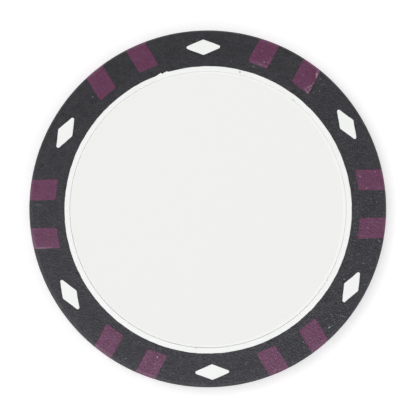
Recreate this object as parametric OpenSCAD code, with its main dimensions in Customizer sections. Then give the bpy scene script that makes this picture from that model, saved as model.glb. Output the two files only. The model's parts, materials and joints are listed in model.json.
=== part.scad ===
// Moulded three-colour poker chip.
// A steel slug is cast into a white core. The core has a thin flange at half thickness, which
// carries the six diamonds. The twelve edge spots are cast over that flange, and then the dark
// rim around them. A label sits in a shallow seat on each face.
// The chip lies flat: the origin is the centre of its lower face, and +Z points up through it.

/* [Chip] */
// Diameter over the edge of the chip
chip_d = 40; // [37:0.5:48]
// Thickness from face to face
chip_t = 3.3; // [3:0.1:4.5]
// Radius that rounds the two edges of the chip
edge_r = 0.45; // [0.2:0.05:0.7]

/* [White core] */
// Width of the dark band that is left between the core and the edge of the chip
band_w = 3.9; // [3.5:0.05:5]
// Width of the white collar around each label
collar_w = 0.6; // [0.3:0.05:1]
// Radius that rounds the inner lip of the collar
lip_r = 0.12; // [0.05:0.01:0.2]
// Depth of the seat for each label
seat_depth = 0.3; // [0.25:0.05:0.5]
// Thickness of the flange under the coloured plastic
flange_t = 1; // [0.8:0.1:1.3]
// Coloured plastic outside the flange, at the edge of the chip
edge_wall = 0.8; // [0.6:0.05:1]

/* [Diamonds] */
// Length of a diamond along the rim
diamond_l = 3.8; // [3:0.05:5]
// Width of a diamond across the rim
diamond_w = 1.75; // [1.2:0.05:2.2]
// Radius that rounds the four corners of a diamond
diamond_r = 0.2; // [0.05:0.01:0.3]
// Distance from the edge of the chip to the middle of a diamond
diamond_inset = 1.8; // [1.6:0.01:2.1]

/* [Edge spots] */
// Width of a spot
spot_w = 2.35; // [1.8:0.05:3]
// Gap between the two parallel spots of a pair
spot_gap = 3.05; // [2.2:0.05:3.6]
// Length of a spot from the edge of the chip inwards
spot_l = 3; // [2.4:0.05:3.3]
// Radius that rounds the two inner corners of a spot
spot_r = 0.25; // [0.1:0.01:0.5]
// Diameter of the rivet that holds a spot through the flange
rivet_d = 1.1; // [0.8:0.05:1.2]

/* [Dark rim] */
// Diameter of the holes in the flange that the rim's plastic flows through
flow_d = 1.4; // [1:0.05:1.8]

/* [Steel slug] */
// White plastic over each face of the slug
skin_t = 0.5; // [0.35:0.05:0.7]
// White plastic between the edge of the slug and the outside of the core
core_wall = 1.6; // [1.2:0.05:3]
// Chamfer on the two edges of the slug
slug_chamfer = 0.2; // [0.05:0.01:0.25]
// Diameter of the anchor holes that the core's plastic fills
anchor_d = 3.2; // [2:0.1:4.5]
// Distance from the edge of the slug to the middle of an anchor hole
anchor_inset = 5.5; // [4.5:0.1:6.5]
// Diameter of the marks that the mould's support pins leave in the core, under the labels
pin_d = 1.6; // [1:0.1:2.5]
// Distance from the edge of the slug to the middle of a support pin mark
pin_inset = 2; // [1.6:0.1:2.6]

/* [Labels] */
// Thickness of a label
label_t = 0.2; // [0.1:0.05:0.25]
// Gap between a label and the wall of its seat
label_gap = 0.1; // [0.05:0.01:0.3]

/* [Hidden] */
// Sectors of the pattern: each has one diamond and one pair of spots
sectors = 6;
// Support pins of the mould
pins = 3;
// How far a cut runs past the face that it opens
cut_over = 0.5;
// Straight steps along each arc of an outline
arc_steps = 6;
$fn = 96;

sector_a = 360 / sectors;
pin_a = 360 / pins;
chip_r = chip_d / 2;
mid_z = chip_t / 2;
core_r = chip_r - band_w;
seat_r = core_r - collar_w;
seat_top_z = chip_t - seat_depth;
label_r = seat_r - label_gap;
flange_r = chip_r - edge_wall;
diamond_at = chip_r - diamond_inset;
spot_inner_r = chip_r - spot_l;
spot_mid_y = (spot_gap + spot_w) / 2;
rivet_at = (spot_inner_r + flange_r) / 2;
flow_at = (core_r + flange_r) / 2;
slug_r = core_r - core_wall;
slug_low_z = seat_depth + skin_t;
slug_high_z = chip_t - slug_low_z;
anchor_at = slug_r - anchor_inset;
pin_at = slug_r - pin_inset;

spot_count = 2 * sectors;
function spot_name(i) = str("edge_spot_", i < 10 ? "0" : "", i);

// Places its children in each sector, with +X along the middle of the sector's pair of spots
module each_sector() for (k = [0:sectors - 1]) rotate(k * sector_a) children();

// Outer form of the whole chip, a disc with rounded edges
module chip_blank() {
    rotate_extrude() {
        square([chip_r - edge_r, chip_t]);
        translate([0, edge_r]) square([chip_r, chip_t - 2 * edge_r]);
        for (z = [edge_r, chip_t - edge_r]) translate([chip_r - edge_r, z]) circle(edge_r);
    }
}

// Column over an outline. It runs past both faces, and the chip's blank trims what it gives.
module column() translate([0, 0, -cut_over]) linear_extrude(chip_t + 2 * cut_over) children();

// Column of the hub, inside the dark band
module hub_column() column() circle(core_r);

// Points along an arc, from one bearing about its centre to another
function arc(centre, radius, from, to) = [
    for (i = [0:arc_steps]) let (a = from + (to - from) * i / arc_steps) centre + radius * [cos(a), sin(a)]
];

// Rhombus with round corners, long along Y. A side meets the arcs at its ends at bearing a.
module diamond_outline() {
    long = diamond_l / 2 - diamond_r;
    wide = diamond_w / 2 - diamond_r;
    a = atan2(wide, long);
    polygon(concat(
        arc([wide, 0], diamond_r, -a, a),
        arc([0, long], diamond_r, a, 180 - a),
        arc([-wide, 0], diamond_r, 180 - a, 180 + a),
        arc([0, -long], diamond_r, 180 + a, 360 - a)
    ));
}

// Columns of the six diamonds, halfway between the pairs of spots
module diamond_columns() {
    each_sector() rotate(sector_a / 2) translate([diamond_at, 0, 0]) column() diamond_outline();
}

// Outline of the spot on the +Y side of a pair. Its inner end is an arc about the chip's axis,
// which two corner arcs blend into the parallel sides.
module spot_outline() {
    near = spot_gap / 2;
    far = near + spot_w;
    corner_at = spot_inner_r + spot_r;
    near_a = asin((near + spot_r) / corner_at);
    far_a = asin((far - spot_r) / corner_at);
    end_step = (far_a - near_a) / (arc_steps + 2);
    reach = chip_r + cut_over;
    polygon(concat(
        [[reach, far]],
        arc(corner_at * [cos(far_a), sin(far_a)], spot_r, 90, 180 + far_a),
        arc([0, 0], spot_inner_r, far_a - end_step, near_a + end_step),
        arc(corner_at * [cos(near_a), sin(near_a)], spot_r, 180 + near_a, 270),
        [[reach, near]]
    ));
}

// Column of spot i. The odd spots are the first of their pair, going anticlockwise.
module spot_column(i) {
    rotate(floor((i - 1) / 2) * sector_a) mirror([0, i % 2, 0]) column() spot_outline();
}

// Thin disc at half thickness, with a hole for each spot's rivet and a flow hole between each pair
module flange() {
    rivet_x = sqrt(rivet_at * rivet_at - spot_mid_y * spot_mid_y);
    difference() {
        translate([0, 0, mid_z - flange_t / 2]) cylinder(r = flange_r, h = flange_t);
        each_sector() {
            for (y = [-spot_mid_y, spot_mid_y]) translate([rivet_x, y, 0]) cylinder(d = rivet_d, h = chip_t);
            translate([flow_at, 0, 0]) cylinder(d = flow_d, h = chip_t);
        }
    }
}

// Label seat on the upper face, opening with the round lip of the collar
module seat_cut() {
    rotate_extrude() {
        translate([0, seat_top_z]) square([seat_r, seat_depth + cut_over]);
        difference() {
            translate([seat_r, chip_t - lip_r]) square([lip_r, lip_r + cut_over]);
            translate([seat_r + lip_r, chip_t - lip_r]) circle(lip_r);
        }
    }
}

// Marks of the mould's support pins, from both faces down to the slug
module pin_marks() {
    for (k = [0:pins - 1]) {
        rotate(k * pin_a + sector_a / 2) translate([pin_at, 0, 0]) cylinder(d = pin_d, h = chip_t);
    }
}

// Stamped disc with chamfered edges and a ring of anchor holes
module steel_slug() {
    color("#9b9ea3") difference() {
        rotate_extrude() polygon([
            [0, slug_low_z], [slug_r - slug_chamfer, slug_low_z], [slug_r, slug_low_z + slug_chamfer],
            [slug_r, slug_high_z - slug_chamfer], [slug_r - slug_chamfer, slug_high_z], [0, slug_high_z]
        ]);
        each_sector() translate([anchor_at, 0, 0]) cylinder(d = anchor_d, h = chip_t);
    }
}

// First shot: the hub around the slug, with a label seat on each face, the flange and the diamonds
module white_core() {
    color("#f3f4f2") difference() {
        union() {
            intersection() {
                chip_blank();
                union() {
                    hub_column();
                    diamond_columns();
                }
            }
            flange();
        }
        seat_cut();
        translate([0, 0, chip_t]) mirror([0, 0, 1]) seat_cut();
        steel_slug();
        pin_marks();
    }
}

// Second shot: a spot around the edge of the flange, riveted to itself through the flange
module edge_spot(i) {
    color("#68465c") difference() {
        intersection() {
            chip_blank();
            spot_column(i);
        }
        flange();
    }
}

// Third shot: the rest of the band, on both sides of the flange and around its edge
module black_rim() {
    color("#424145") difference() {
        chip_blank();
        hub_column();
        diamond_columns();
        for (i = [1:spot_count]) spot_column(i);
        flange();
    }
}

// Die-cut disc that lies in a seat
module label() color("#f0f0ee") cylinder(r = label_r, h = label_t);

module front_label() translate([0, 0, seat_top_z]) label();

module back_label() translate([0, 0, seat_depth - label_t]) label();

steel_slug();
white_core();
for (i = [1:spot_count]) edge_spot(i);
black_rim();
front_label();
back_label();
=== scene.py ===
import json
import math

import bmesh
import bpy
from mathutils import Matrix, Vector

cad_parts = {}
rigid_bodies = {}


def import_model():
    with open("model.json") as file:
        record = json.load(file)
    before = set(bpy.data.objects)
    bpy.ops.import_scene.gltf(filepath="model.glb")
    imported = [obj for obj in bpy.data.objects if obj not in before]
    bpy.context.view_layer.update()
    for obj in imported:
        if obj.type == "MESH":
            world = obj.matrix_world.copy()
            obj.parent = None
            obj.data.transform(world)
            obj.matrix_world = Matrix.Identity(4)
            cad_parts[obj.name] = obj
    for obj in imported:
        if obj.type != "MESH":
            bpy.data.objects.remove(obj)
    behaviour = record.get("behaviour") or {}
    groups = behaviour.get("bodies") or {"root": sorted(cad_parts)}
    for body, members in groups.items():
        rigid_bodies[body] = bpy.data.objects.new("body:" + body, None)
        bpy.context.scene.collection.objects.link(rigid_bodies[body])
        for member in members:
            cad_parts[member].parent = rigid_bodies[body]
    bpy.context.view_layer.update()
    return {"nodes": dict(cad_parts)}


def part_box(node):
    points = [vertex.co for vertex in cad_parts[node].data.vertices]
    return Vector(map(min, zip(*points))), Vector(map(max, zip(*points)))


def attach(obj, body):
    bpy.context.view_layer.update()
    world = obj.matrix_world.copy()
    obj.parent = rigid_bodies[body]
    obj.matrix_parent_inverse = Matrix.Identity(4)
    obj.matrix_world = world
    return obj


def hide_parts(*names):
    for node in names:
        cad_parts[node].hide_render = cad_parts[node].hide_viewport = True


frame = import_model()

# Steel slug
# A stamped mild steel disc that gives the chip its weight. It is laid in the mould first, and the
# white core closes over it, so it doesn't show on a whole chip.

mm = 0.001
noise_low = 0.3
noise_high = 0.7
rolling_stretch = (0.2, 6.0, 1.0)


def screen(red, green, blue):
    """Scene colour of a screen colour, with each channel from 0 to 255."""
    shares = [channel / 255 for channel in (red, green, blue)]
    return [s / 12.92 if s <= 0.04045 else ((s + 0.055) / 1.055) ** 2.4 for s in shares] + [1.0]


def add_node(tree, kind, inputs=None, **settings):
    """Adds a shader node with its settings. Each input gets a value, or the output of another node."""
    node = tree.nodes.new(kind)
    for name, value in settings.items():
        setattr(node, name, value)
    for key, value in (inputs or {}).items():
        if isinstance(value, bpy.types.NodeSocket):
            tree.links.new(value, node.inputs[key])
        else:
            node.inputs[key].default_value = value
    return node


def start_finish(name):
    """A new material, its node tree, its shader, and the place on the piece in millimetres."""
    finish = bpy.data.materials.new(name)
    finish.use_nodes = True
    tree = finish.node_tree
    on_piece = add_node(tree, "ShaderNodeTexCoord").outputs["Object"]
    in_mm = add_node(tree, "ShaderNodeMapping", {"Vector": on_piece, "Scale": (1 / mm, 1 / mm, 1 / mm)})
    return finish, tree, tree.nodes["Principled BSDF"], in_mm.outputs["Vector"]


def remap(tree, value, start, end, low=0.0, high=1.0, **settings):
    """Low where a value is at the start or before it, and high where it is at the end or past it."""
    spread = {"Value": value, "From Min": start, "From Max": end, "To Min": low, "To Max": high}
    return add_node(tree, "ShaderNodeMapRange", spread, **settings).outputs["Result"]


def grain(tree, place, size, detail=2.0, low=0.0, high=1.0):
    """Noise with lumps of about that size in millimetres, spread between low and high."""
    lumps = add_node(tree, "ShaderNodeTexNoise", {"Vector": place, "Scale": 1 / size, "Detail": detail})
    return remap(tree, lumps.outputs["Fac"], noise_low, noise_high, low, high)


def mix_colour(tree, share, colour_a, colour_b):
    """Colour a where the share is 0, and colour b where it is 1."""
    inputs = {"Factor": share, 6: colour_a, 7: colour_b}
    return add_node(tree, "ShaderNodeMix", inputs, data_type="RGBA").outputs[2]


def coat(tree, shader, colour, roughness, specular=0.5):
    """Gives the shader a colour, a roughness and a specular level."""
    tree.links.new(colour, shader.inputs["Base Color"])
    tree.links.new(roughness, shader.inputs["Roughness"])
    shader.inputs["Specular IOR Level"].default_value = specular


slug_steel, tree, shader, place = start_finish("stamped_mild_steel")
rolled = add_node(tree, "ShaderNodeMapping", {"Vector": place, "Scale": rolling_stretch}).outputs["Vector"]
steel_colour = mix_colour(tree, grain(tree, rolled, size=0.8), screen(150, 153, 158), screen(176, 178, 182))
coat(tree, shader, steel_colour, grain(tree, place, size=0.5, low=0.3, high=0.5))
shader.inputs["Metallic"].default_value = 1.0
frame["nodes"]["steel_slug"].material_slots[0].material = slug_steel

# White core
# The first plastic shot, cast around the slug. Each face of its hub has a shallow seat for a label,
# with a collar around it. A flange at half thickness carries six diamonds that show through the rim.
# The pieces are modelled in millimetres about the middle of the chip, and then seated in the frame.

chip_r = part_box("black_rim")[1].y / mm
half_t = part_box("black_rim")[1].z / mm / 2
hub_r = 16.07
collar_w = 0.6
seat_r = hub_r - collar_w
seat_depth = 0.3
seat_fillet = 0.06
fillet_steps = 3
lip_r = 0.08
lip_steps = 5
seam_r = 0.035
seam_steps = 2
edge_wall = 0.8
flange_r = chip_r - edge_wall
flange_z = 0.5
diamond_l = 3.78
diamond_w = 1.74
diamond_r = 0.2
diamond_border = 0.13
diamond_sink = 0.012
diamond_inset = 1.81
diamond_at = chip_r - diamond_inset
rivet_r = 0.55
rivet_at = 18.1
spot_mid_y = 2.7
flow_r = 0.7
flow_at = (hub_r + flange_r) / 2
pin_r = 0.8
pin_at = 12.5
overrun = 0.5
sectors = 6
sector_turns = [k * 2 * math.pi / sectors for k in range(sectors)]
half_sector = math.pi / sectors

# How finely the forms are stepped, and how their faces and edges are told apart.
round_sides = 720
post_sides = 24
peg_sides = 32
cap_sides = 8
upright = 0.9
sharp_angle = math.radians(50)
flat_angle = math.radians(1)
straight_l = 0.3
straight_cuts = 11
tiny = 0.001

# Small faults of the moulding: nibs of flash where the hub meets the rim, as bearing and height, a hub
# and diamonds that sit a little off the centre of the rim, pairs of spots that are turned by a part of
# a degree, and outlines that wander along X and Y, in lumps of those sizes.
flash_nibs = ((107.5, 0.17), (105.0, 0.11))
nib_steps = 4
core_offset = (0.037, -0.112, 0.0)
seat_shift = (-0.01, 0.03, 0.0)
diamond_slips = ((0.01, 0.04), (-0.02, 0.02), (0.02, -0.02), (0.01, 0.05), (-0.05, 0.03), (0.01, 0.0))
pair_slips = (0.14, 0.21, 0.24, 0.2, -0.02, -0.1)
spot_turns = [turn + math.radians(slip) for turn, slip in zip(sector_turns, pair_slips)]
wander_lumps = (("X", 0.8), ("Y", 0.9))
wander_reach = 0.035


def pick(piece):
    """Makes a piece the only selected one, and the active one."""
    bpy.ops.object.select_all(action="DESELECT")
    piece.select_set(True)
    bpy.context.view_layer.objects.active = piece


def add_round(name, radius, height, at=(0, 0, 0), sides=round_sides):
    """Adds an upright cylinder, with its place in its mesh."""
    bpy.ops.object.select_all(action="DESELECT")
    bpy.ops.mesh.primitive_cylinder_add(vertices=sides, radius=radius, depth=height, location=at)
    piece = bpy.context.active_object
    piece.name = name
    bpy.ops.object.transform_apply(location=True, rotation=True, scale=True)
    return piece


def add_posts(name, radius, places):
    """Adds the rounded column that fits around upright posts, past both faces of the chip."""
    height = 2 * (half_t + overrun)
    piece = add_round(name, radius, height, (*places[0], 0), post_sides)
    bpy.ops.object.mode_set(mode="EDIT")
    for place in places[1:]:
        at = (*place, 0)
        bpy.ops.mesh.primitive_cylinder_add(vertices=post_sides, radius=radius, depth=height, location=at)
    bpy.ops.mesh.select_all(action="SELECT")
    bpy.ops.mesh.convex_hull()
    bpy.ops.mesh.select_all(action="SELECT")
    bpy.ops.mesh.dissolve_limited(angle_limit=flat_angle)
    bpy.ops.object.mode_set(mode="OBJECT")
    return piece


def edit(piece, kind):
    """Opens a piece in edit mode, to pick its faces, edges or vertices."""
    pick(piece)
    bpy.ops.object.mode_set(mode="EDIT")
    bpy.ops.mesh.select_mode(type=kind)


def choose(piece, wanted):
    """Selects the elements of the open piece that pass a test, and nothing else."""
    bpy.ops.mesh.select_all(action="DESELECT")
    open_mesh = bmesh.from_edit_mesh(piece.data)
    _, by_edge, by_face = bpy.context.tool_settings.mesh_select_mode
    elements = open_mesh.faces if by_face else open_mesh.edges if by_edge else open_mesh.verts
    for element in [e for e in elements if wanted(e)]:
        element.select_set(True)
    bmesh.update_edit_mesh(piece.data)


def close():
    """Leaves edit mode."""
    bpy.ops.object.mode_set(mode="OBJECT")


def is_cap(face):
    """True for a large flat face with many sides."""
    return len(face.verts) > cap_sides and abs(face.normal.z) > upright


def from_axis(co):
    """Distance of a point from the chip's axis."""
    return math.hypot(co.x, co.y)


def on_ring(edge, radius, height):
    """True for an edge that runs around the chip's axis at that radius, at that height up or down."""
    ends = [vertex.co for vertex in edge.verts]
    level = abs(ends[0].z - ends[1].z) < tiny
    near = [abs(from_axis(co) - radius) < tiny and abs(abs(co.z) - height) < tiny for co in ends]
    return level and all(near)


def is_seam(edge):
    """True for a sharp edge that shows on the outside of the chip, and not around the hidden flange."""
    outside = max(abs(vertex.co.z) for vertex in edge.verts) > flange_z + tiny
    return outside and edge.is_manifold and edge.calc_face_angle() > sharp_angle


def is_straight(edge):
    """True for a level edge that is longer than the steps of the curves."""
    return edge.calc_length() > straight_l and abs(edge.verts[0].co.z - edge.verts[1].co.z) < tiny


def round_seams(piece):
    """Rounds the sharp edges that show, and adds points along the straight ones, which can then wander."""
    edit(piece, "EDGE")
    choose(piece, is_seam)
    bpy.ops.mesh.bevel(offset=seam_r, segments=seam_steps, affect="EDGES")
    choose(piece, is_straight)
    bpy.ops.mesh.subdivide(number_cuts=straight_cuts)
    close()


def apply_modifier(piece, kind, **settings):
    """Gives a piece a modifier with its settings, and applies it."""
    pick(piece)
    modifier = piece.modifiers.new(kind.title(), kind)
    for name, value in settings.items():
        setattr(modifier, name, value)
    bpy.ops.object.modifier_apply(modifier=modifier.name)


def shape_with(piece, tool, operation):
    """Cuts a piece with a tool, joins the tool to it, or keeps what lies inside the tool."""
    apply_modifier(piece, "BOOLEAN", object=tool, operation=operation, solver="EXACT")


def copy_of(piece, turn=0.0, flip=0.0):
    """A copy with its own mesh, turned over about the X axis and then turned about the chip's axis."""
    pick(piece)
    bpy.ops.object.duplicate()
    copy = bpy.context.active_object
    copy.rotation_euler = (flip, 0, turn)
    bpy.ops.object.transform_apply(location=True, rotation=True, scale=True)
    return copy


def join(pieces):
    """Joins pieces into the first one."""
    bpy.ops.object.select_all(action="DESELECT")
    for piece in pieces:
        piece.select_set(True)
    bpy.context.view_layer.objects.active = pieces[0]
    bpy.ops.object.join()
    return pieces[0]


def ring_of(tools, turns):
    """Joins turned copies of some tools into one, and removes the first ones."""
    ring = join([copy_of(tool, turn) for tool in tools for turn in turns])
    for tool in tools:
        bpy.data.objects.remove(tool)
    return ring


def disturb_bore(piece):
    """Gives the hub's wall, or the bore around it, its saw-toothed nibs and its offset."""
    edit(piece, "VERT")
    step = 360 / round_sides
    for bearing, height in flash_nibs:
        for reach in range(nib_steps):
            choose(piece, lambda v: abs(from_axis(v.co) - hub_r) < 2 * height
                   and -0.5 < (math.degrees(math.atan2(v.co.y, v.co.x)) - bearing) / step < reach + 0.5)
            grow = 1 + height / nib_steps / hub_r
            bpy.ops.transform.resize(value=(grow, grow, 1), center_override=(0, 0, 0))
    choose(piece, lambda v: from_axis(v.co) < hub_r + 2 * max(height for bearing, height in flash_nibs))
    bpy.ops.transform.translate(value=core_offset)
    close()


def unsettle(piece):
    """Lets the outlines between the colours wander a little, alike on pieces that meet."""
    edit(piece, "VERT")
    choose(piece, lambda v: hub_r - collar_w / 2 < from_axis(v.co) < flange_r)
    bpy.ops.object.vertex_group_assign_new()
    close()
    between = piece.vertex_groups.active.name
    for axis, lump in wander_lumps:
        wander = bpy.data.textures.new("wander", "CLOUDS")
        wander.noise_scale = lump
        both_ways = {"strength": 2 * wander_reach, "mid_level": 0.5}
        apply_modifier(piece, "DISPLACE", texture=wander, direction=axis, vertex_group=between, **both_ways)
    piece.vertex_groups.clear()


def smooth(piece):
    """Shades a piece smooth, with its flat faces kept flat."""
    pick(piece)
    bpy.ops.object.shade_smooth_by_angle(angle=sharp_angle)
    apply_modifier(piece, "WEIGHTED_NORMAL", keep_sharp=True)


def seat_in_frame(piece):
    """Turns millimetres into metres, and lifts the piece from the chip's middle to its place."""
    piece.scale = (mm, mm, mm)
    piece.location.z = half_t * mm
    pick(piece)
    bpy.ops.object.transform_apply(location=True, rotation=True, scale=True)


core = add_round("core_moulding", hub_r, 2 * half_t)
edit(core, "FACE")
choose(core, is_cap)
bpy.ops.mesh.inset(thickness=collar_w, use_individual=True)
choose(core, is_cap)
bpy.ops.mesh.extrude_region_shrink_fatten(TRANSFORM_OT_shrink_fatten={"value": -seat_depth})
for height in (-flange_z, flange_z):
    bpy.ops.mesh.select_all(action="SELECT")
    bpy.ops.mesh.bisect(plane_co=(0, 0, height), plane_no=(0, 0, 1))
choose(core, lambda face: abs(face.calc_center_median().z) < flange_z and not is_cap(face))
bpy.ops.mesh.extrude_region_shrink_fatten(TRANSFORM_OT_shrink_fatten={"value": flange_r - hub_r})
bpy.ops.mesh.select_mode(type="EDGE")
for radius, height, rounding, segments in (
    (seat_r, half_t, lip_r, lip_steps),
    (hub_r, half_t, seam_r, seam_steps),
    (seat_r, half_t - seat_depth, seat_fillet, fillet_steps),
):
    choose(core, lambda edge: on_ring(edge, radius, height))
    bpy.ops.mesh.bevel(offset=rounding, segments=segments, affect="EDGES")
close()
disturb_bore(core)
edit(core, "VERT")
choose(core, lambda v: from_axis(v.co) < hub_r - collar_w / 2)
bpy.ops.transform.translate(value=seat_shift)
close()

peg_l = 4 * flange_z
rivet_x = math.sqrt(rivet_at**2 - spot_mid_y**2)
peg_forms = []
for y in (-spot_mid_y, spot_mid_y):
    peg_forms.append(add_round("rivet_peg", rivet_r, peg_l, (rivet_x, y, 0), peg_sides))
peg_forms.append(add_round("flow_peg", flow_r, peg_l, (flow_at, 0, 0), peg_sides))
pegs = ring_of(peg_forms, spot_turns)
shape_with(core, pegs, "DIFFERENCE")

long = diamond_l / 2 - diamond_r
wide = diamond_w / 2 - diamond_r
corners = [(diamond_at + x, y) for x, y in ((wide, 0), (0, long), (-wide, 0), (0, -long))]
diamond = add_posts("diamond_column", diamond_r, corners)
diamond_columns = []
for turn, (slip_x, slip_y) in zip(sector_turns, diamond_slips):
    column = copy_of(diamond, turn + half_sector)
    column.location = (core_offset[0] + slip_x, core_offset[1] + slip_y, 0)
    bpy.ops.object.transform_apply(location=True, rotation=True, scale=True)
    diamond_columns.append(column)
diamonds = join(diamond_columns)
bpy.data.objects.remove(diamond)
shown_diamonds = copy_of(diamonds)
edit(shown_diamonds, "VERT")
bpy.ops.mesh.select_all(action="SELECT")
bpy.ops.transform.resize(value=(1, 1, half_t / (half_t + overrun)))
close()
round_seams(shown_diamonds)
edit(shown_diamonds, "FACE")
choose(shown_diamonds, is_cap)
bpy.ops.mesh.inset(thickness=diamond_border, depth=-diamond_sink, use_individual=True)
close()
shape_with(core, shown_diamonds, "UNION")
bpy.data.objects.remove(shown_diamonds)

slug_form = copy_of(frame["nodes"]["steel_slug"])
bpy.ops.object.parent_clear(type="CLEAR_KEEP_TRANSFORM")
slug_form.scale = (1 / mm, 1 / mm, 1 / mm)
slug_form.location.z = -half_t
bpy.ops.object.transform_apply(location=True, rotation=True, scale=True)
edit(slug_form, "VERT")
bpy.ops.mesh.select_all(action="SELECT")
bpy.ops.mesh.remove_doubles(threshold=tiny / 10)
close()
shape_with(core, slug_form, "DIFFERENCE")
bpy.data.objects.remove(slug_form)
pin = add_round("support_pin", pin_r, 2 * half_t, (pin_at, 0, 0), peg_sides)
pins = ring_of([pin], [turn + half_sector for turn in sector_turns[::2]])
shape_with(core, pins, "DIFFERENCE")
bpy.data.objects.remove(pins)
unsettle(core)
smooth(core)
seat_in_frame(core)

speck_core_share = 0.3
mark_full_share = 0.6
mark_depth = 0.4


def product(tree, share_a, share_b):
    """Product of two shares."""
    return add_node(tree, "ShaderNodeMath", {0: share_a, 1: share_b}, operation="MULTIPLY").outputs[0]


def speckle(tree, place, spacing, radius, amount):
    """Share of scattered round specks. The amount is the share of the places that carry one."""
    cells = add_node(tree, "ShaderNodeTexVoronoi", {"Vector": place, "Scale": 1 / spacing}).outputs
    specks = remap(tree, cells["Distance"], radius / spacing, speck_core_share * radius / spacing)
    pick_of = add_node(tree, "ShaderNodeSeparateXYZ", {0: cells["Color"]}).outputs["X"]
    picked = add_node(tree, "ShaderNodeMath", {0: pick_of, 1: amount}, operation="LESS_THAN").outputs[0]
    return product(tree, specks, picked)


def marks(tree, place, rows):
    """Share of single marks on the upper face: middle, length and width, turn in degrees, strength."""
    share = 0.0
    for middle, (length, width), turn, strength in rows:
        mark_at = {
            "Vector": place,
            "Location": (*middle, 2 * half_t),
            "Rotation": (0, 0, math.radians(turn)),
            "Scale": (length / 2, width / 2, mark_depth),
        }
        within = add_node(tree, "ShaderNodeMapping", mark_at, vector_type="TEXTURE").outputs["Vector"]
        fade = add_node(tree, "ShaderNodeTexGradient", {"Vector": within}, gradient_type="SPHERICAL")
        fade = fade.outputs["Fac"]
        mark = remap(tree, fade, 0.0, mark_full_share, high=strength, interpolation_type="SMOOTHSTEP")
        share = add_node(tree, "ShaderNodeMath", {0: share, 1: mark}, operation="MAXIMUM").outputs[0]
    return product(tree, share, grain(tree, place, size=0.1, low=0.4))


def roughen(tree, shader, height, depth):
    """Gives the surface a relief of that depth in millimetres."""
    relief = add_node(tree, "ShaderNodeBump", {"Height": height, "Distance": depth * mm})
    tree.links.new(relief.outputs["Normal"], shader.inputs["Normal"])


white_plastic, tree, shader, place = start_finish("white_moulded_plastic")
white_colour = mix_colour(tree, grain(tree, place, size=2.5), screen(239, 241, 239), screen(243, 244, 242))
dust = speckle(tree, place, spacing=0.9, radius=0.12, amount=0.35)
dust = product(tree, dust, grain(tree, place, size=4.0, high=0.3))
white_colour = mix_colour(tree, dust, white_colour, screen(196, 194, 190))
dirt = marks(tree, place, (
    ((4.02, 15.2), (0.34, 0.26), -15, 0.8),
    ((9.97, 11.88), (0.5, 0.2), -42, 0.35),
    ((-1.75, -15.52), (0.2, 0.26), 0, 0.4),
))
white_colour = mix_colour(tree, dirt, white_colour, screen(96, 92, 90))
coat(tree, shader, white_colour, grain(tree, place, size=0.3, low=0.4, high=0.52), specular=0.15)
roughen(tree, shader, grain(tree, place, size=0.6), depth=0.004)
core.data.materials.clear()
core.data.materials.append(white_plastic)
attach(core, "root")
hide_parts("white_core")

# Edge spots
# The second shot: twelve purple inserts in six pairs of parallel bars. Each one wraps the edge of the
# flange and is riveted to itself through it, so it shows on both faces and on the edge of the chip.

spot_w = 2.34
spot_l = 3
spot_inner_r = chip_r - spot_l
spot_corner_r = 0.28
edge_r = 0.45
edge_steps = 8
# The rounded edge is paler: partly wear, partly a painted highlight that is strongest towards the lower
# left.
highlight_side = (-0.83, -0.56, 0.0)
highlight_from_share = 0.5
least_wear_and_highlight = 0.45
most_wear_and_highlight = 0.95
diagonal = math.radians(45)

spot_rows = [spot_mid_y + side * (spot_w / 2 - spot_corner_r) for side in (-1, 1)]
corners = [(math.sqrt((spot_inner_r + spot_corner_r) ** 2 - y**2), y) for y in spot_rows]
corners += [(chip_r + overrun, y) for y in spot_rows]
spot_column = add_posts("spot_column", spot_corner_r, corners)
inner_end = add_round("inner_end", spot_inner_r, 3 * (half_t + overrun))
shape_with(spot_column, inner_end, "DIFFERENCE")
bpy.data.objects.remove(inner_end)

blank = add_round("chip_blank", chip_r, 2 * half_t)
edit(blank, "EDGE")
choose(blank, lambda edge: on_ring(edge, chip_r, half_t))
bpy.ops.mesh.bevel(offset=edge_r, segments=edge_steps, affect="EDGES")
close()
flange = add_round("flange_form", flange_r, 2 * flange_z)
shape_with(flange, pegs, "DIFFERENCE")
bpy.data.objects.remove(pegs)

first_spot = copy_of(spot_column)
shape_with(first_spot, blank, "INTERSECT")
shape_with(first_spot, flange, "DIFFERENCE")
round_seams(first_spot)


def wear_and_highlight_edge(tree, place):
    """Share of paler colour along the rounded edge of the chip: partly wear all round, partly a painted
    highlight, strongest on its lower left, where the edge catches the light.
    """
    flat = add_node(tree, "ShaderNodeVectorMath", {0: place, 1: (1.0, 1.0, 0.0)}, operation="MULTIPLY")
    flat = flat.outputs["Vector"]
    out = add_node(tree, "ShaderNodeVectorMath", {0: flat}, operation="LENGTH").outputs["Value"]
    on_edge = remap(tree, out, chip_r - edge_r, chip_r)
    left = add_node(tree, "ShaderNodeVectorMath", {0: flat, 1: highlight_side}, operation="DOT_PRODUCT")
    left = remap(tree, left.outputs["Value"], highlight_from_share * chip_r, chip_r, least_wear_and_highlight, most_wear_and_highlight)
    return product(tree, product(tree, on_edge, left), grain(tree, place, size=0.5, low=0.4))


def towards_front(tree, place, start, end, low, high):
    """A value that rises from low to high across the chip, from its upper left to its lower right.

    It starts to rise and ends at those shares of the chip's radius, counted from its middle.
    """
    turned = add_node(tree, "ShaderNodeMapping", {"Vector": place, "Rotation": (0, 0, diagonal)})
    along = add_node(tree, "ShaderNodeSeparateXYZ", {0: turned.outputs["Vector"]}).outputs["X"]
    return remap(tree, along, start * chip_r, end * chip_r, low, high)


def moulded_grain(tree, place, size):
    """Height of the moulded grain, which handling has worn down towards the upper left."""
    left = towards_front(tree, place, start=-0.95, end=0.1, low=0.3, high=1.0)
    return product(tree, grain(tree, place, size, detail=3), left)


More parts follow.
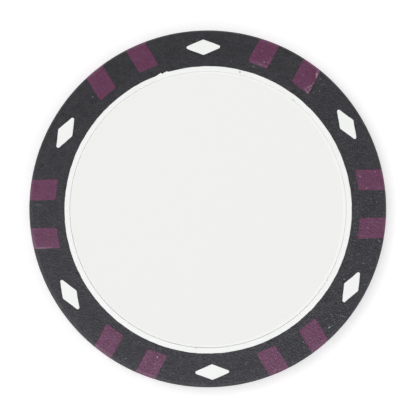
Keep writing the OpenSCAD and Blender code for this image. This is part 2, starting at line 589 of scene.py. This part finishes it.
purple_plastic, tree, shader, place = start_finish("purple_moulded_plastic")
fine = grain(tree, place, size=0.22, detail=3)
purple_colour = mix_colour(tree, fine, screen(77, 28, 60), screen(95, 45, 76))
mottle = grain(tree, place, size=0.9, high=0.35)
purple_colour = mix_colour(tree, mottle, purple_colour, screen(103, 59, 87))
pale = speckle(tree, place, spacing=0.5, radius=0.12, amount=0.3)
pale = product(tree, pale, grain(tree, place, size=1.5, low=0.05, high=0.35))
purple_colour = mix_colour(tree, pale, purple_colour, screen(168, 140, 158))
scuffs = marks(tree, place, (
    ((12.78, 15.05), (0.4, 0.3), 62, 0.24),
    ((12.62, 14.72), (0.5, 0.38), 75, 0.46),
    ((12.57, 14.45), (0.46, 0.24), 75, 0.42),
    ((12.18, 13.72), (0.5, 0.2), 52, 0.22),
    ((11.95, 13.44), (0.42, 0.22), 40, 0.36),
    ((11.66, 13.34), (0.44, 0.22), 20, 0.36),
    ((11.32, 13.12), (0.5, 0.4), 0, 0.16),
    ((11.88, 13.0), (0.7, 0.6), 0, 0.18),
    ((11.56, 12.71), (0.26, 0.24), 0, 0.55),
    ((11.42, 12.9), (0.5, 0.4), -35, 0.14),
    ((6.8, 16.23), (0.3, 0.22), 10, 0.3),
    ((7.23, 16.22), (0.28, 0.2), 30, 0.25),
    ((6.4, 16.0), (0.5, 0.24), -20, 0.2),
    ((7.0, 15.72), (0.5, 0.24), -20, 0.14),
    ((5.45, 16.38), (0.4, 0.24), -20, 0.15),
    ((6.2, 16.0), (2.2, 0.7), -20, 0.08),
    ((7.45, 16.56), (0.3, 0.2), 62, 0.15),
    ((17.14, 3.14), (0.5, 0.14), -40, 0.35),
    ((18.83, 3.64), (0.4, 0.15), 33, 0.3),
    ((17.82, 1.8), (0.6, 0.2), 33, 0.22),
    ((17.83, -2.59), (0.19, 0.17), 0, 0.3),
    ((17.76, -3.82), (0.5, 0.15), 0, 0.28),
    # A pale line along the lower edge of the spot on the left: a painted highlight where that edge catches
    # the light.
    ((-18.5, -3.86), (2.6, 0.24), -1, 0.26),
    ((-6.12, -16.43), (0.26, 0.24), 0, 0.8),
))
purple_colour = mix_colour(tree, scuffs, purple_colour, screen(206, 182, 200))
# Wear and a painted highlight along the rounded edge of the spot.
purple_colour = mix_colour(tree, wear_and_highlight_edge(tree, place), purple_colour, screen(140, 112, 130))
coat(tree, shader, purple_colour, grain(tree, place, size=0.3, low=0.38, high=0.52), specular=0.17)
roughen(tree, shader, moulded_grain(tree, place, size=0.17), depth=0.035)
first_spot.data.materials.clear()
first_spot.data.materials.append(purple_plastic)

spot_columns = []
for i in range(2 * sectors):
    turn = spot_turns[i // 2]
    flip = math.pi if i % 2 == 0 else 0.0
    spot_columns.append(copy_of(spot_column, turn, flip))
    spot = copy_of(first_spot, turn, flip)
    spot.name = f"spot_moulding_{i + 1:02d}"
    unsettle(spot)
    smooth(spot)
    seat_in_frame(spot)
    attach(spot, "root")
    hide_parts(f"edge_spot_{i + 1:02d}")
bpy.data.objects.remove(first_spot)
bpy.data.objects.remove(spot_column)

# Dark rim
# The third shot: charcoal plastic that fills the rest of the band, on both sides of the flange and
# around its edge. It leaves the diamonds and the spots flush, and its faces have a fine moulded grain.

rim_cuts = 5

rim = copy_of(blank)
rim.name = "rim_moulding"
bpy.data.objects.remove(blank)
edit(rim, "FACE")
choose(rim, is_cap)
bpy.ops.mesh.inset(thickness=chip_r - edge_r - hub_r, use_individual=True)
choose(rim, is_cap)
bpy.ops.mesh.delete(type="FACE")
bpy.ops.mesh.select_mode(type="EDGE")
choose(rim, lambda edge: edge.is_boundary)
bpy.ops.mesh.bridge_edge_loops()
choose(rim, lambda edge: on_ring(edge, hub_r, half_t))
bpy.ops.mesh.bevel(offset=seam_r, segments=seam_steps, affect="EDGES")
close()
disturb_bore(rim)
for tool in (flange, diamonds, join(spot_columns)):
    shape_with(rim, tool, "DIFFERENCE")
    bpy.data.objects.remove(tool)
edit(rim, "EDGE")
choose(rim, lambda edge: is_seam(edge) and is_straight(edge))
bpy.ops.mesh.subdivide(number_cuts=rim_cuts)
close()
unsettle(rim)
smooth(rim)
seat_in_frame(rim)

black_plastic, tree, shader, place = start_finish("charcoal_moulded_plastic")
fine = grain(tree, place, size=0.14, detail=3)
black_colour = mix_colour(tree, fine, screen(22, 22, 24), screen(47, 47, 50))
mottle = grain(tree, place, size=0.7, high=0.5)
black_colour = mix_colour(tree, mottle, black_colour, screen(55, 55, 58))
# Pale specks, denser towards the lower right: partly real specks, partly a painted sheen on the grain where
# the front light falls.
pale = speckle(tree, place, spacing=0.23, radius=0.1, amount=0.45)
pale = product(tree, pale, towards_front(tree, place, start=-0.3, end=1.0, low=0.05, high=0.65))
black_colour = mix_colour(tree, pale, black_colour, screen(96, 96, 100))
scuffs = marks(tree, place, (
    ((14.8, -12.42), (1.3, 0.18), -21, 0.16),
    ((13.22, -13.64), (0.42, 0.18), 38, 0.75),
    ((9.92, -13.9), (0.24, 0.22), 0, 0.5),
    ((10.27, -15.18), (0.2, 0.18), 0, 0.5),
    ((10.35, -15.8), (0.2, 0.16), 0, 0.4),
    ((13.48, -12.18), (0.26, 0.16), 20, 0.28),
    ((12.38, -11.92), (0.2, 0.18), 0, 0.25),
    ((17.23, -6.55), (0.2, 0.18), 0, 0.45),
    ((15.05, -8.3), (0.2, 0.16), 0, 0.45),
    ((18.27, 0.62), (0.26, 0.16), 20, 0.3),
    ((18.28, 0.3), (0.2, 0.18), 0, 0.2),
    ((18.93, 0.29), (0.2, 0.16), 0, 0.2),
    ((19.46, 1.3), (0.3, 0.18), 20, 0.2),
    ((17.33, -0.57), (0.2, 0.18), 0, 0.2),
    ((19.66, -0.97), (0.4, 0.14), -35, 0.22),
    ((19.1, -4.12), (0.44, 0.15), -30, 0.3),
    ((13.13, 13.59), (0.2, 0.18), 0, 0.26),
    ((13.35, 13.58), (0.18, 0.18), 0, 0.26),
    ((12.87, 12.84), (0.22, 0.18), 0, 0.26),
    ((12.21, 12.68), (0.2, 0.18), 0, 0.26),
    ((12.97, 14.2), (0.3, 0.24), 0, 0.16),
    ((5.57, 15.76), (0.6, 0.5), 0, 0.1),
    ((3.1, 16.49), (0.2, 0.2), 0, 0.24),
    ((-12.52, 12.9), (0.22, 0.18), 60, 0.35),
    ((-18.9, 0.98), (1.1, 0.3), -6, 0.08),
    ((-18.93, -1.56), (0.2, 0.4), 0, 0.08),
    ((3.75, -17.46), (0.24, 0.22), 0, 0.22),
    ((-9.63, -16.49), (0.22, 0.2), 0, 0.3),
    ((-9.97, -16.6), (0.22, 0.18), 0, 0.22),
    ((-0.62, 18.91), (0.5, 0.22), 0, 0.12),
))
black_colour = mix_colour(tree, scuffs, black_colour, screen(190, 190, 194))
# Wear and a painted highlight along the rounded edge of the rim.
black_colour = mix_colour(tree, wear_and_highlight_edge(tree, place), black_colour, screen(92, 92, 95))
coat(tree, shader, black_colour, grain(tree, place, size=0.3, low=0.38, high=0.52), specular=0.128)
roughen(tree, shader, moulded_grain(tree, place, size=0.16), depth=0.048)
rim.data.materials.clear()
rim.data.materials.append(black_plastic)
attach(rim, "root")
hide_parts("black_rim")

# Labels
# A die-cut disc of matt film in each seat, a little below the collar. The pale field is printed and
# bare. It stops short of the edge, so a white margin is left, which is uneven, because the print lies a
# little off the middle of the disc.

label_low, label_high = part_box("front_label")
label_gap = 0.017
label_r = seat_r - label_gap
slack_shift = (0.006, 0.011, 0.0)
field_shift = (-0.125, 0.02, 0.0)
adhesive_t = 0.04
label_t = (label_high.z - label_low.z) / mm + adhesive_t
label_mid = label_low.z / mm + label_t / 2 - half_t
margin_w = 0.22
cut_r = 0.04
cut_steps = 3

front = add_round("label_film_front", label_r, label_t, (0, 0, label_mid))
edit(front, "EDGE")
choose(front, lambda edge: on_ring(edge, label_r, label_mid + label_t / 2))
bpy.ops.mesh.bevel(offset=cut_r, segments=cut_steps, affect="EDGES")
bpy.ops.mesh.select_mode(type="FACE")
choose(front, lambda face: is_cap(face) and face.normal.z > 0)
bpy.ops.mesh.inset(thickness=margin_w - cut_r)
bpy.ops.transform.translate(value=field_shift)
close()
smooth(front)


def matt_film(name, colour_a, colour_b):
    """Film without gloss, in a fine mix of two colours."""
    film, tree, shader, place = start_finish(name)
    film_colour = mix_colour(tree, grain(tree, place, size=0.3), colour_a, colour_b)
    coat(tree, shader, film_colour, grain(tree, place, size=0.4, low=0.5, high=0.6), specular=0.0)
    return film


label_margin = matt_film("label_margin", screen(245, 245, 243), screen(247, 247, 245))
label_field = matt_film("label_field", screen(240.5, 240.5, 238.5), screen(241.5, 241.5, 239.5))
front.data.materials.clear()
front.data.materials.append(label_margin)
front.data.materials.append(label_field)
for polygon in front.data.polygons:
    in_field = len(polygon.vertices) > cap_sides and polygon.normal.z > upright
    polygon.material_index = int(in_field)
back = copy_of(front, flip=math.pi)
back.name = "label_film_back"
for label, node in ((front, "front_label"), (back, "back_label")):
    edit(label, "VERT")
    bpy.ops.mesh.select_all(action="SELECT")
    for shift in (core_offset, seat_shift, slack_shift):
        bpy.ops.transform.translate(value=shift)
    close()
    seat_in_frame(label)
    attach(label, "root")
    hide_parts(node)

# Table
# A plain white table top, which takes the chip's shadow. It glows a little for the camera, so that it
# shows as white around the shadow.

table_w = 4
table_glow = 0.3


def seen_share(tree):
    """1 for what is seen directly, in a gloss or through glass, and 0 for light on other surfaces."""
    path = add_node(tree, "ShaderNodeLightPath").outputs
    seen = path["Is Camera Ray"]
    for ray in ("Is Glossy Ray", "Is Transmission Ray"):
        seen = add_node(tree, "ShaderNodeMath", {0: seen, 1: path[ray]}, operation="ADD").outputs[0]
    return seen


bpy.ops.object.select_all(action="DESELECT")
bpy.ops.mesh.primitive_plane_add(size=table_w)
table = bpy.context.active_object
table.name = "table_top"
table_white, tree, shader, place = start_finish("table_white")
shader.inputs["Base Color"].default_value = (0.9, 0.9, 0.9, 1.0)
shader.inputs["Roughness"].default_value = 0.9
shader.inputs["Specular IOR Level"].default_value = 0.0
shader.inputs["Emission Color"].default_value = (1.0, 1.0, 1.0, 1.0)
tree.links.new(product(tree, seen_share(tree), table_glow), shader.inputs["Emission Strength"])
table.data.materials.append(table_white)

# Studio light
# A soft white room, a round key panel high up on the left, which the shadow falls away from, and a
# wide panel near the front that only puts a sheen on the plastic.

room_light = 0.85

world = bpy.data.worlds.new("studio")
world.use_nodes = True
tree = world.node_tree
room = tree.nodes["Background"]
room.inputs["Color"].default_value = (1.0, 1.0, 1.0, 1.0)
to_white = {0: seen_share(tree), 1: 1 - room_light, 2: room_light}
to_white = add_node(tree, "ShaderNodeMath", to_white, operation="MULTIPLY_ADD").outputs[0]
tree.links.new(to_white, room.inputs["Strength"])
bpy.context.scene.world = world


def add_panel(name, at, width, depth, watts):
    """An oval panel light that faces the chip, and that the camera doesn't see."""
    panel = bpy.data.lights.new(name, "AREA")
    panel.shape = "ELLIPSE"
    panel.size = width
    panel.size_y = depth
    panel.energy = watts
    lamp = bpy.data.objects.new(name, panel)
    bpy.context.collection.objects.link(lamp)
    lamp.location = at
    lamp.rotation_euler = lamp.location.to_track_quat("Z", "Y").to_euler()
    lamp.visible_camera = False
    return lamp


key = add_panel("key_panel", at=(-0.145, 0.112, 0.6), width=0.28, depth=0.28, watts=0.6)
key.visible_glossy = False
sheen = add_panel("sheen_panel", at=(-0.018, -0.08, 0.122), width=0.24, depth=0.08, watts=0.7)
sheen.data.color = (0.89, 0.87, 1.0)
sheen.visible_diffuse = False

# Camera
# It looks straight down on the chip, turned a little, as the photograph does.

photo_px = 416
chip_px = 357.0
chip_centre_px = (207.25, 208.37)
camera_turn = -1.6
camera_height = 0.3

px = 2 * chip_r * mm / chip_px
camera = bpy.data.cameras.new("camera")
camera.sensor_width = 36
camera.lens = camera.sensor_width * (camera_height - (2 * half_t - edge_r) * mm) / (photo_px * px)
camera.clip_start = 0.01
viewer = bpy.data.objects.new("camera", camera)
bpy.context.collection.objects.link(viewer)
middle_px = (photo_px - 1) / 2
viewer.location = ((middle_px - chip_centre_px[0]) * px, (chip_centre_px[1] - middle_px) * px, camera_height)
viewer.rotation_euler = (0, 0, math.radians(camera_turn))
bpy.context.scene.camera = viewer
bpy.context.scene.view_settings.view_transform = "Standard"
